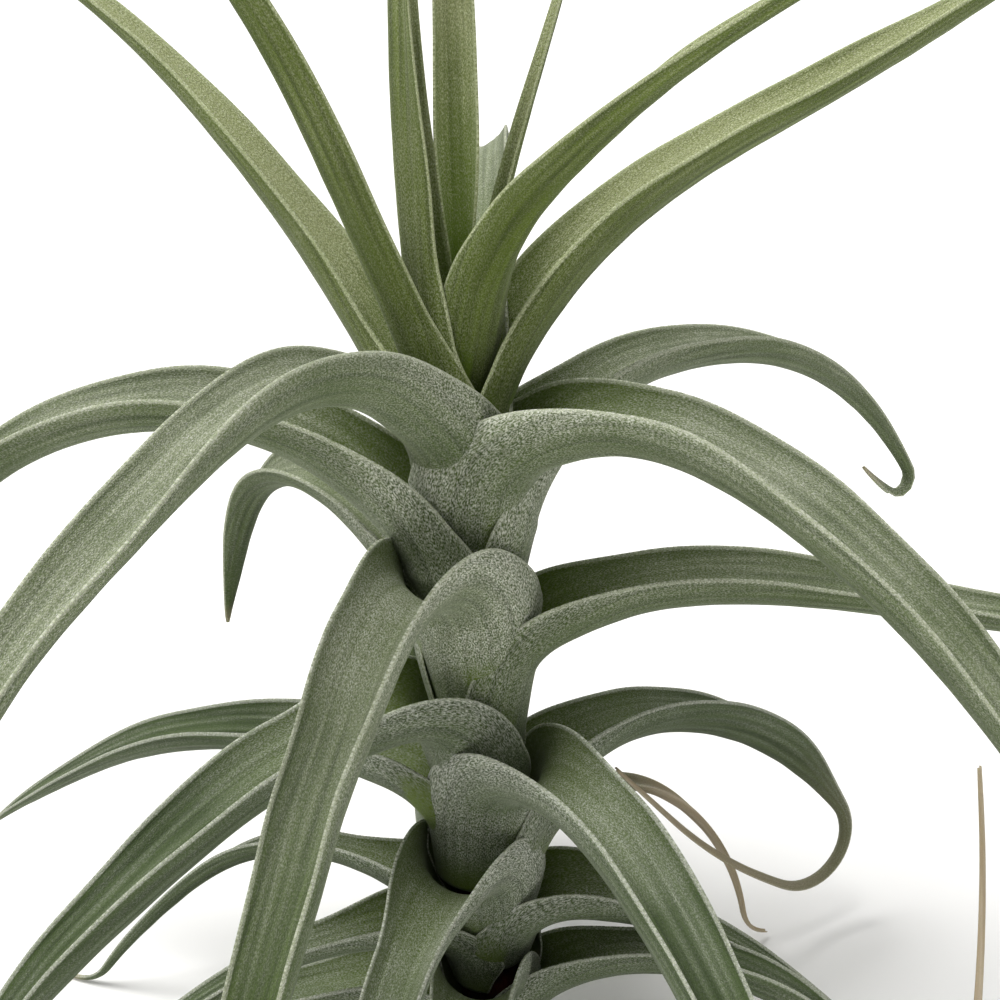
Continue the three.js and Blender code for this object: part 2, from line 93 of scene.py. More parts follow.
# The leaves from the foot to the top, with the CAD model's own values. node and mouth are the heights
# where the sheath starts and where the blade leaves it, and blade is the length beyond the mouth.
# headings are degrees above level at all but the first of HEADING_AT, where a leaf climbs as its
# sheath does. width is the share of a full-size blade, slim says how late it narrows, roll turns it
# about its fold, and curl bends it down by so many degrees, from where and over what length. wither
# and dry are the distances beyond the mouth between which it shrinks to a thread or turns to straw.
# The wraps and radii stand in for the usual ones.
LEAVES = (
    dict(name="leaf_01", azimuth=178, node=1.5, mouth=9.5, blade=95, width=0.9,
         headings=(30, -2, -14, -22, -25, -25, -25)),
    dict(name="leaf_02", azimuth=342, node=6, mouth=14.2, blade=164, width=0.77, slim=1.8, roll=20,
         wrap=100, mouth_wrap=100, wither=(50, 100), headings=(48, 27, 5, -27, -45, -45, -40),
         curl=(-137, 76, 27), dry=(78, 96)),
    dict(name="leaf_03", azimuth=262, node=10.5, mouth=21, blade=75, width=0.85,
         headings=(28, -22, -40, -50, -50, -50, -50)),
    dict(name="leaf_04", azimuth=100, node=15, mouth=27, blade=105, width=0.9, wrap=105,
         headings=(40, 10, -20, -38, -40, -40, -40)),
    dict(name="leaf_05", azimuth=198, node=24, mouth=30, blade=105, width=0.72, slim=1, roll=-12,
         wrap=70, mouth_wrap=92, mouth_radius=8.8, headings=(14, 5, -11, -29, -44, -58, -40)),
    dict(name="leaf_06", azimuth=160, node=28, mouth=32.5, blade=110, width=0.65, slim=1, roll=-25,
         wrap=90, mouth_wrap=95, node_radius=7.4, mouth_radius=8.4,
         headings=(26, 16, -4, -36, -49, -57, -48)),
    dict(name="leaf_07", azimuth=-6, node=30, mouth=34, blade=100, width=0.8, slim=1, roll=12, wrap=85,
         mouth_wrap=112, node_radius=8.2, mouth_radius=9.6,
         headings=(4, -10, -25, -38, -52, -67, -40)),
    dict(name="leaf_08", azimuth=249, node=33, mouth=46.5, blade=90, width=0.81, slim=2.3, roll=-15,
         wrap=125, mouth_wrap=115, mouth_radius=11.2, headings=(6, -9, -23, -38, -50, -61, -70)),
    dict(name="leaf_09", azimuth=33, node=37.5, mouth=48, blade=92, width=0.35, slim=0.9, roll=-10,
         wrap=110, mouth_radius=10.3, headings=(18, -4, -33, -57, -82, -111, -66), dry=(14, 40)),
    dict(name="leaf_10", azimuth=92, node=41, mouth=50, blade=110, width=0.85, wrap=95, mouth_wrap=85,
         mouth_radius=10.6, headings=(42, 12, -22, -48, -60, -70, -70)),
    dict(name="leaf_11", azimuth=28, node=45, mouth=53.7, blade=182, width=1, slim=1.7, roll=16,
         wrap=98, mouth_wrap=98, mouth_radius=10.8, wither=(60, 104),
         headings=(41, 18, -11, -32, -50, -50, -66), curl=(164, 89, 35), dry=(60, 190)),
    dict(name="leaf_12", azimuth=303, node=48.5, mouth=63.6, blade=145, width=1.06, slim=2.6, roll=20,
         wrap=130, mouth_wrap=112, node_radius=9.4, mouth_radius=10.8,
         headings=(30, 4, -23, -42, -62, -83, -60)),
    dict(name="leaf_13", azimuth=153, node=52, mouth=56.5, blade=130, width=1.15, slim=1.3, roll=10,
         mouth_wrap=135, node_radius=8, mouth_radius=9.5, headings=(15, 8, -2, -15, -30, -36, -50)),
    dict(name="leaf_14", azimuth=212, node=61, mouth=76.7, blade=140, width=1.2, slim=1.5, roll=-10,
         mouth_wrap=101, headings=(8, -3, -15, -29, -41, -54, -60)),
    dict(name="leaf_15", azimuth=88, node=66, mouth=78, blade=130, width=0.85, wrap=85,
         mouth_wrap=62, mouth_radius=9.3, headings=(45, 18, -12, -38, -50, -60, -70)),
    dict(name="leaf_16", azimuth=0, node=70, mouth=87.8, blade=160, width=1.14, slim=1.1, roll=-6,
         mouth_wrap=100, mouth_radius=9.9, headings=(36, 22, 3, -9, -9, -13, -80)),
    dict(name="leaf_17", azimuth=100, node=75.5, mouth=93, blade=140, width=0.9, wrap=116,
         mouth_wrap=110, mouth_radius=10.95, headings=(45, 14, -16, -42, -56, -66, -75)),
    dict(name="leaf_18", azimuth=248, node=81, mouth=101.4, blade=150, width=1.06, slim=1.9, roll=-18,
         mouth_wrap=103, node_radius=7.4, mouth_radius=12, headings=(40, 4, -31, -30, -43, -72, -80)),
    dict(name="leaf_19", azimuth=138, node=88, mouth=98, blade=90, width=1.11, slim=1.5, roll=20,
         mouth_wrap=97, mouth_radius=10.3, headings=(34, 32, 12, -51, -68, -91, -70)),
    dict(name="leaf_20", azimuth=180, node=95, mouth=109.4, blade=160, width=1.25, slim=1.4, roll=5,
         mouth_radius=11.6, headings=(59, 47, 27, -2, -38, -79, -70)),
    dict(name="leaf_21", azimuth=35, node=100, mouth=115.4, blade=140, width=1.3, slim=0.8, roll=-2,
         mouth_wrap=112, mouth_radius=10.7, headings=(51, 36, 14, -8, -34, -52, -75),
         curl=(159, 121, 8)),
    dict(name="leaf_22", azimuth=327, node=105, mouth=123.2, blade=172, width=1.09, slim=2.2, roll=1,
         mouth_wrap=138, mouth_radius=10.6, headings=(41, 21, -7, -27, -44, -54, -50)),
    dict(name="leaf_23", azimuth=234, node=111, mouth=127.8, blade=176, width=1.2, slim=1.1, roll=-5,
         mouth_wrap=110, node_radius=6.8, mouth_radius=9.6, headings=(52, 42, 20, -13, -24, -53, -72)),
    dict(name="leaf_24", azimuth=154, node=117, mouth=128.2, blade=130, width=1.15, slim=0.9, roll=-2,
         mouth_wrap=95, node_radius=6.3, mouth_radius=8.6, headings=(60, 58, 55, 50, 41, 29, 20)),
    dict(name="leaf_25", azimuth=206, node=123, mouth=134, blade=130, width=0.64, slim=2.4, roll=6,
         node_radius=5.6, mouth_radius=7, headings=(75, 72, 69, 67, 60, 52, 20)),
    dict(name="leaf_26", azimuth=86, node=127, mouth=136, blade=130, width=0.9, node_radius=5,
         headings=(62, 53, 41, 8, -38, -60, -65)),
    dict(name="leaf_27", azimuth=18, node=131, mouth=136, blade=160, width=1.08, slim=1.2,
         node_radius=4.5, mouth_radius=6.3, headings=(65, 53, 40, 25, 26, 23, -20)),
    dict(name="leaf_28", azimuth=175, node=136, mouth=142.6, blade=110, width=0.8, slim=2.6, roll=-11,
         node_radius=3.6, mouth_radius=6.7, headings=(88, 87, 88, 91, 93, 95, 82)),
    dict(name="leaf_29", azimuth=307, node=141, mouth=149.4, blade=125, width=0.8, slim=0.8, roll=-15,
         node_radius=3, mouth_radius=5.6, headings=(71, 56, 42, 34, 28, 19, 0)),
    dict(name="leaf_30", azimuth=34, node=145.5, mouth=148.7, blade=75, width=0.2, slim=1.9, roll=-5,
         node_radius=2.2, mouth_radius=2.9, headings=(76, 74, 70, 66, 61, 54, 45)),
    dict(name="leaf_31", azimuth=90, node=148.5, mouth=160, blade=100, width=0.5, node_radius=1.4,
         mouth_radius=1.6, headings=(88, 90, 89, 84, 76, 62, 50)),
)

# ---- Finer shape of a leaf that the CAD model leaves out -------------------------------------------

SPINE_STEP = 1.0         # integration step along a leaf
RING_STEP_SHEATH = 0.8
RING_STEP_NECK = 0.8
RING_STEP_BLADE = 1.5
NECK_LENGTH = 34.0
FACE_POINTS = 37         # points across each face of a section
MARGIN_POINTS = 3        # points round the margin, between the two faces

FREE_FROM, FREE_DONE = 12.0, 70.0   # beyond the mouth a blade gets free to turn and wander
SIDE_SWING = 1.6         # it wanders sideways by up to this much
ROLL_SWING = 7.0         # it turns about its fold by up to this many degrees
REACH_SWING = 0.07       # and its margins stand higher or lower by up to this share
REACH_FROM, REACH_DONE = 3.0, 30.0
SIDE_WAVES = (3, 160.0, 60.0)       # each wave: how many sines, and the longest and shortest of them
ROLL_WAVES = (3, 120.0, 35.0)
REACH_WAVES = (4, 90.0, 22.0)
GROOVE_WAVES = (3, 120.0, 30.0)
GROOVES = (0.34, 0.60, 0.80)        # long creases, as shares of the way from fold to margin
GROOVE_DEPTHS = (0.10, 0.17, 0.13)
GROOVE_WIDTH = 0.055
GROOVE_DRIFT = 0.03      # a crease wanders by this share of the way to the margin
GROOVE_FROM, GROOVE_DONE = -2.0, 14.0   # creases start in the neck
GROOVE_TIP = 0.25        # and fade over this last share of the blade
OUTER_DENT, INNER_DENT = 0.5, 0.6   # how much of a crease's depth shows on each face
UNEVENNESS = 0.10        # soft hollows and swellings of the flesh
LUMPS = 5                # sines that they are made of
LUMP_RATES = (0.2, 0.9)  # radians that each turns by in a millimetre along the leaf
LUMP_SLANT = 6.0         # and, at most, between the fold and a margin
LUMP_PHASE = 6.3         # and, at most, before the leaf's mouth
LUMPS_DONE = 10.0        # they are full-size this far beyond the mouth
DRY_TIP_FROM = 0.93      # the last of every blade is a little dry
DRY_TIP = 0.6
LOWEST = 0.02            # no point of a leaf is nearer to the floor than this
GREEN_ABOVE_RIM = 11.0   # a sheath turns from silver to green this far above the rim it dives into
GREEN_SPAN = 9.0
STEM_ROOM = 15.0         # only faces this near to the stem's axis dive into another sheath
HOOD_FELT = dict(leaf_08=1.7, leaf_12=1.5, leaf_14=0.8, leaf_16=0.6, leaf_18=1.8, leaf_20=0.5,
                 leaf_22=0.9, leaf_23=0.8)      # felt round the mouth, as a share of the usual


def smooth(x, a, b):
    """0 before a, 1 after b, and an even ease between them."""
    t = np.clip((x - a) / (b - a), 0.0, 1.0)
    return t * t * (3 - 2 * t)


def mix(a, b, share):
    return a + (b - a) * share


def through_points(x, xs, ys):
    """Smooth curve through the points (xs, ys), with slopes taken from the neighbours."""
    xs, ys = np.asarray(xs, float), np.asarray(ys, float)
    rise = np.diff(ys) / np.diff(xs)
    before, after = np.diff(xs)[:-1], np.diff(xs)[1:]
    slopes = np.concatenate(([rise[0]], (rise[:-1] * after + rise[1:] * before) / (before + after),
                             [rise[-1]]))
    i = np.clip(np.searchsorted(xs, x, side="left") - 1, 0, len(xs) - 2)
    h = xs[i + 1] - xs[i]
    t = np.minimum((x - xs[i]) / h, 1.0)
    return ((2 * t ** 3 - 3 * t ** 2 + 1) * ys[i] + (t ** 3 - 2 * t ** 2 + t) * h * slopes[i]
            + (3 * t ** 2 - 2 * t ** 3) * ys[i + 1] + (t ** 3 - t ** 2) * h * slopes[i + 1])


def sheath_of(leaf):
    """The sheath's radii at its node and mouth, its length and its climb."""
    node_radius = leaf.get("node_radius", NODE_RADIUS)
    rise = leaf["mouth"] - leaf["node"]
    mouth_radius = leaf.get("mouth_radius", node_radius + SHEATH_FLARE * rise)
    flare = mouth_radius - node_radius
    return node_radius, mouth_radius, math.hypot(rise, flare), math.atan2(rise, flare)


def steepest_fall(height):
    """Steepest fall, in radians, that still lands a leaf softly from this height."""
    if height >= LANDING_RADIUS:
        return -math.pi
    return -math.acos(1 - max(height, 0) / LANDING_RADIUS)


def fold_line(leaf):
    """Points of the fold from node to tip: distance along, heading and place on the leaf's plane."""
    node_radius, _, length, climb = sheath_of(leaf)
    total = length + leaf["blade"]
    steps = round(total / SPINE_STEP)
    along = np.linspace(0, total, steps + 1)
    beyond = np.maximum(along - length, 0)
    degrees = through_points(np.minimum(beyond, HEADING_AT[-1]), HEADING_AT,
                             (math.degrees(climb), *leaf["headings"]))
    if "curl" in leaf:
        turn, start, span = leaf["curl"]
        degrees = degrees - turn * smooth(beyond, start, start + span)
    out, up = np.full(steps + 1, float(node_radius)), np.full(steps + 1, float(leaf["node"]))
    headings = np.radians(degrees)
    headings[0] = climb
    for i in range(1, steps + 1):
        if degrees[i] > CURLED_UNDER:
            headings[i] = max(headings[i], steepest_fall(up[i - 1] - LYING_HEIGHT))
        middle = (headings[i] + headings[i - 1]) / 2
        out[i] = out[i - 1] + total / steps * math.cos(middle)
        up[i] = up[i - 1] + total / steps * math.sin(middle)
    return along, headings, out, up


def waves(rng, count, longest, shortest):
    """A smooth random wave of distance, about -1 to 1, from a few sines of seeded size and phase."""
    lengths = np.geomspace(longest, shortest, count)
    phases = rng.uniform(0, 2 * math.pi, count)
    sizes = rng.uniform(0.5, 1.0, count) * lengths / longest
    sizes /= sizes.sum()
    return lambda s: sum(a * np.sin(2 * math.pi * s / w + p)
                         for a, w, p in zip(sizes, lengths, phases))


def sunk_share(rings, outer_leaves):
    """How deep each point sits in the mouths of the leaves outside it, from 0 to 1."""
    x, y, z = rings[..., 0], rings[..., 1], rings[..., 2]
    azimuth = np.degrees(np.arctan2(y, x))
    rim = np.full(z.shape, -GREEN_ABOVE_RIM)
    for other in outer_leaves:
        apart = np.abs((azimuth - other["azimuth"] + 180) % 360 - 180)
        wrapped = apart < other.get("mouth_wrap", MOUTH_WRAP)
        rim = np.where(wrapped, np.maximum(rim, other["mouth"]), rim)
    return smooth(rim + GREEN_ABOVE_RIM - z, 0, GREEN_SPAN) * (np.hypot(x, y) < STEM_ROOM)


def ring_places(leaf):
    """Distances along the fold at which the leaf has a ring of points."""
    length = sheath_of(leaf)[2]
    neck_end = length + NECK_LENGTH
    return np.concatenate((
        np.arange(0, length, RING_STEP_SHEATH),
        np.arange(length, neck_end, RING_STEP_NECK),
        np.linspace(neck_end, length + leaf["blade"],
                    round((leaf["blade"] - NECK_LENGTH) / RING_STEP_BLADE))))


def section_frames(leaf, places, rng):
    """The fold's point in each section, the section's directions to the side and into its hollow,
    and the fold's distance from the stem's axis."""
    length = sheath_of(leaf)[2]
    line_along, *line = fold_line(leaf)
    heading, out, up = (np.interp(places, line_along, values) for values in line)
    beyond = np.maximum(places - length, 0)
    azimuth = math.radians(leaf["azimuth"])
    outward = np.array((math.cos(azimuth), math.sin(azimuth), 0.0))
    across = np.array((-math.sin(azimuth), math.cos(azimuth), 0.0))
    upward = np.array((0.0, 0.0, 1.0))

    loose = smooth(beyond, FREE_FROM, FREE_DONE)
    side_wave, roll_wave = waves(rng, *SIDE_WAVES), waves(rng, *ROLL_WAVES)
    aside = SIDE_SWING * loose * (side_wave(beyond) - side_wave(np.zeros(1)))
    fold = outward * out[:, None] + upward * up[:, None] + across * aside[:, None]

    # The section is level in the sheath and turns square to the fold line in the neck.
    turn = smooth(places, TILT_FROM * length, length + TILT_DONE)
    tilt = mix(math.pi / 2, heading, turn)
    depth = -outward * np.sin(tilt)[:, None] + upward * np.cos(tilt)[:, None]
    roll = np.radians(leaf.get("roll", 0) * smooth(beyond, 0, ROLL_DONE)
                      + ROLL_SWING * loose * roll_wave(beyond))
    side = across * np.cos(roll)[:, None] - depth * np.sin(roll)[:, None]
    depth = depth * np.cos(roll)[:, None] + across * np.sin(roll)[:, None]
    return fold, side, depth, out


def section_measures(leaf, places, out):
    """Each section's radius, its reach from the fold to a margin in radians, its wall and its keel."""
    _, mouth_radius, length, _ = sheath_of(leaf)
    total = length + leaf["blade"]
    beyond = np.maximum(places - length, 0)
    share = beyond / leaf["blade"]
    slimness = np.maximum(1 - share ** leaf.get("slim", 2), 0) ** SLIM_POWER
    withered = smooth(beyond, *leaf["wither"]) if "wither" in leaf else np.zeros_like(beyond)
    channel = CHANNEL_RADIUS * leaf["width"] * slimness * mix(1, WITHERED, withered) + TIP_RADIUS
    stem_radius = np.minimum(out, mouth_radius + MOUTH_SLACK)
    radius = mix(stem_radius, channel, smooth(places, NARROW_FROM * length, length + NARROW_DONE))
    wrap, mouth_wrap = leaf.get("wrap", SHEATH_WRAP), leaf.get("mouth_wrap", MOUTH_WRAP)
    part_way, opened = SHEATH_OPENS
    reach = np.radians(np.interp(
        places,
        (0, part_way * length, length + WRAP_HELD, length + WRAP_NEARLY_DONE, length + WRAP_DONE,
         LATE_AT * total, total),
        (wrap, mix(wrap, mouth_wrap, opened), mouth_wrap, mix(mouth_wrap, BLADE_WRAP, NEARLY_DONE),
         BLADE_WRAP, LATE_WRAP, TIP_WRAP)))
    flesh = mix(SHEATH_WALL, BLADE_WALL, smooth(places, length + THICK_FROM, length + THICK_DONE))
    wall = flesh * np.sqrt(np.maximum(1 - share, 0)) * mix(leaf["width"], 1, SLIM_WALL) + TIP_WALL
    wall = np.minimum(wall, MOST_WALL * radius)
    keel = KEEL * channel * smooth(beyond, KEEL_FROM, KEEL_DONE)
    return radius, reach, wall, keel


def creases_and_lumps(t, beyond, share, rng):
    """Depths of the long creases, which fade out in the sheath and at the tip, and of the lumps."""
    creased = (smooth(beyond, GROOVE_FROM, GROOVE_DONE) * smooth(1 - share, 0, GROOVE_TIP))[:, None]
    crease = np.zeros((len(beyond), len(t)))
    for at, deep in zip(GROOVES, GROOVE_DEPTHS):
        for hand in (-1, 1):
            drift = GROOVE_DRIFT * waves(rng, *GROOVE_WAVES)(beyond)[:, None]
            crease += deep * np.exp(-(((t - hand * at - drift) / GROOVE_WIDTH) ** 2))
    rates, slants = rng.uniform(*LUMP_RATES, LUMPS), rng.uniform(-LUMP_SLANT, LUMP_SLANT, LUMPS)
    phases = rng.uniform(0, LUMP_PHASE, LUMPS)
    lumps = sum(np.sin(beyond[:, None] * rate + t * slant + phase)
                for rate, slant, phase in zip(rates, slants, phases)) / LUMPS
    return crease * creased, UNEVENNESS * lumps * smooth(beyond, 0, LUMPS_DONE)[:, None]


def rounded_margin(outer, inner, column):
    """Points round the margin, from the outer to the inner face, at their first or last column."""
    middle = (outer[:, column] + inner[:, column]) / 2
    half = (outer[:, column] - inner[:, column]) / 2
    beside = outer[:, column] - outer[:, 1 if column == 0 else -2]
    beside -= half * (np.sum(beside * half, 1) / np.maximum(np.sum(half * half, 1), 1e-9))[:, None]
    beside /= np.maximum(np.linalg.norm(beside, axis=1), 1e-9)[:, None]
    bulge = beside * np.linalg.norm(half, axis=1)[:, None]
    steps = np.linspace(0, math.pi, MARGIN_POINTS + 2)[1:-1]
    return np.stack([middle + half * math.cos(a) + bulge * math.sin(a) for a in steps], 1)


def leaf_sections(leaf, outer_leaves, rng):
    """Rings of points round the leaf, with what the leaf's surface needs to know at each point."""
    node_radius, mouth_radius, length, _ = sheath_of(leaf)
    places = ring_places(leaf)
    beyond = np.maximum(places - length, 0)
    share = beyond / leaf["blade"]
    fold, side, depth, out = section_frames(leaf, places, rng)
    radius, reach, wall, keel = section_measures(leaf, places, out)

    # Points across one face, from one margin to the other; t is -1 and 1 at the margins.
    t = np.linspace(-1, 1, FACE_POINTS)
    left, right = waves(rng, *REACH_WAVES), waves(rng, *REACH_WAVES)
    swing = np.where(t < 0, left(beyond)[:, None], right(beyond)[:, None]) * np.abs(t)
    swing = 1 + REACH_SWING * smooth(beyond, REACH_FROM, REACH_DONE)[:, None] * swing
    angle = t * reach[:, None] * swing
    sink = radius[:, None] * (1 - np.cos(angle)) \
        - keel[:, None] * np.exp(-((angle / KEEL_WIDTH) ** 2))
    outer = (fold[:, None] + depth[:, None] * sink[..., None]
             + side[:, None] * (radius[:, None] * np.sin(angle))[..., None])
    inwards = (depth[:, None] * np.cos(angle)[..., None] - side[:, None] * np.sin(angle)[..., None])
    thick = wall[:, None] * (1 - (1 - EDGE_WALL) * t * t)
    crease, lumps = creases_and_lumps(t, beyond, share, rng)
    dent = (crease + lumps) * np.minimum(thick, 1.0)
    inner = outer + inwards * thick[..., None] + inwards * (INNER_DENT * dent)[..., None]
    outer = outer + inwards * (OUTER_DENT * dent)[..., None]

    # The inner face keeps off the leaves and the stem that the sheath wraps.
    flare = (mouth_radius - node_radius) / (leaf["mouth"] - leaf["node"])
    clear = node_radius - SHEATH_WALL - TIP_WALL \
        + flare * (np.minimum(inner[..., 2], leaf["mouth"] + CLEAR_ABOVE_MOUTH) - leaf["node"])
    push = np.maximum(clear - np.hypot(inner[..., 0], inner[..., 1]), 0)
    for face in (outer, inner):
        away = np.hypot(face[..., 0], face[..., 1])
        face[..., :2] *= (1 + push / away)[..., None]

    # A ring runs along the outer face, round one margin, back along the inner face and round again.
    rings = np.concatenate((outer, rounded_margin(outer, inner, -1), inner[:, ::-1],
                            rounded_margin(outer, inner, 0)[:, ::-1]), 1)
    rings[..., 2] = np.maximum(rings[..., 2], LOWEST)
    there = [*range(FACE_POINTS)]
    columns = there + [-1] * MARGIN_POINTS + there[::-1] + [0] * MARGIN_POINTS
    between = np.full(MARGIN_POINTS, 0.5)
    face_ring = np.concatenate((np.zeros(FACE_POINTS), between, np.ones(FACE_POINTS), between))
    half_width = (reach * radius)[:, None]
    across = t[columns] * half_width
    dryness = smooth(beyond, *leaf["dry"]) if "dry" in leaf \
        else smooth(share, DRY_TIP_FROM, 1.0) * DRY_TIP
    known = dict(
        along=np.repeat((places - length)[:, None], len(columns), 1),
        across=across,
        face=np.repeat(face_ring[None], len(places), 0),
        margin=half_width - np.abs(across),
        sunk=sunk_share(rings, outer_leaves),
        hood_felt=np.full(across.shape, HOOD_FELT.get(leaf["name"], 1.0)),
        crease=crease[:, columns],
        dryness=np.repeat(dryness[:, None], len(columns), 1),
    )
    return rings, known


def leaf_mesh(leaf, outer_leaves, rng):
    """Closed mesh of one leaf, faces turned outwards, with its surface facts stored on the points."""
    rings, known = leaf_sections(leaf, outer_leaves, rng)
    count, around = rings.shape[:2]
    first = np.arange(count - 1)[:, None] * around
    j = np.arange(around)[None]
    k = (j + 1) % around
    walls = np.stack((first + j, first + k, first + around + k, first + around + j), -1)
    faces = walls.reshape(-1, 4).tolist()

    # The two ends are closed by quads across the wall and one face at each margin.
    inner_from = FACE_POINTS + MARGIN_POINTS
    for start, backwards in ((0, True), ((count - 1) * around, False)):
        for i in range(FACE_POINTS - 1):
            over = inner_from + FACE_POINTS - 1 - i
            quad = [start + i, start + i + 1, start + over - 1, start + over]
            faces.append(quad[::-1] if backwards else quad)
        for low, high in ((FACE_POINTS - 1, inner_from), (around - MARGIN_POINTS - 1, around)):
            rim = [start + v % around for v in range(low, high + 1)]
            faces.append(rim[::-1] if backwards else rim)
    mesh = bpy.data.meshes.new(leaf["name"] + "_skin")
    mesh.from_pydata((rings.reshape(-1, 3) * MM).tolist(), [], faces)
    for fact, values in known.items():
        mesh.attributes.new(fact, "FLOAT", "POINT").data.foreach_set("value", values.ravel())
    mesh.polygons.foreach_set("use_smooth", [True] * len(mesh.polygons))
    mesh.update()
    return mesh


# ---- Materials ----------------------------------------------------------------------------------

def linear(code):
    """An sRGB hex colour as linear RGBA."""
    channels = [int(code[i:i + 2], 16) / 255 for i in (1, 3, 5)]
    return (*((c / 12.92 if c <= 0.04045 else ((c + 0.055) / 1.055) ** 2.4) for c in channels), 1.0)


def add(tree, kind, inputs=None, **settings):
    """Adds a node with its settings. inputs: socket to a value or to another node's output."""
    node = tree.nodes.new(kind)
    for key, value in settings.items():
        setattr(node, key, value)
    for socket, value in (inputs or {}).items():
        if isinstance(value, bpy.types.NodeSocket):
            tree.links.new(value, node.inputs[socket])
        else:
            node.inputs[socket].default_value = value
    return node


def fresh_material(name):
    material = bpy.data.materials.new(name)
    material.use_nodes = True
    material.node_tree.nodes.clear()
    return material, material.node_tree


SCALE_SPACING = 0.25     # one felt scale, drawn a little larger than life so that it shows
HAIR_WIDTH = 0.22        # the scales' fringes lie along the leaf like short hairs
HAIR_LENGTH = 0.42
TUFT_SPACING = 1.5       # scales stand in tufts, denser and sparser by turns
STREAK_SPACING = 1.1     # veins under the skin, side by side
STREAK_LENGTH = 38.0
BLOTCH_SIZE = 16.0       # patches where the felt is thicker or thinner
GRAIN_SHARES = (0.6, 0.7)           # how much of the felt's grain is scales and how much hairs

# How thick the felt is, as shares of full cover. Distances along a leaf count from its mouth.
PAINTED_SHADE_HEIGHTS = (76.0, 120.0)        # painted shade and light by height: the felt is thin on low leaves and thick on high ones, changing between these heights from the first to the second share
PAINTED_SHADE_SHARES = (0.28, 1.95)          # changes from the first to the second share of its thickness
PAINTED_LIGHT_FACING_SHARES = (0.3, 1.9)          # painted light and shade: share of the felt that faces keep which look down and up
HOOD_FROM, HOOD_FULL = -18.0, -5.0  # the hood's own felt starts and is full
HOOD_THINS, HOOD_ENDS = 12.0, 44.0
THROAT_ENDS = 44.0                  # the inner face is less and less yellow-green up to here
SUNK_GREEN = 0.85                   # how yellow-green a face is that sits in another sheath
BURIED_FELT = 0.12                  # share of its felt that yellow-green flesh keeps
CREASE_FELT = 1.6                   # felt that gathers in creases, per depth
OUTER_CREASE = 0.7                  # share of that on the outer face, where the creases start late
OUTER_CREASE_AT = (16.0, 50.0)
LINING_AT = (0.45, 0.15)            # lining of a margin: where it starts and is full, from the edge
LINING_FELT = 0.62
FACE_GRAIN = (0.75, 0.55)           # how grainy the felt is on the outer and the inner face
HOOD_GRAIN = 0.45                   # and by how much more round the mouth
SKIN_RELIEF = 0.16                  # height of the scales and veins, in millimetres


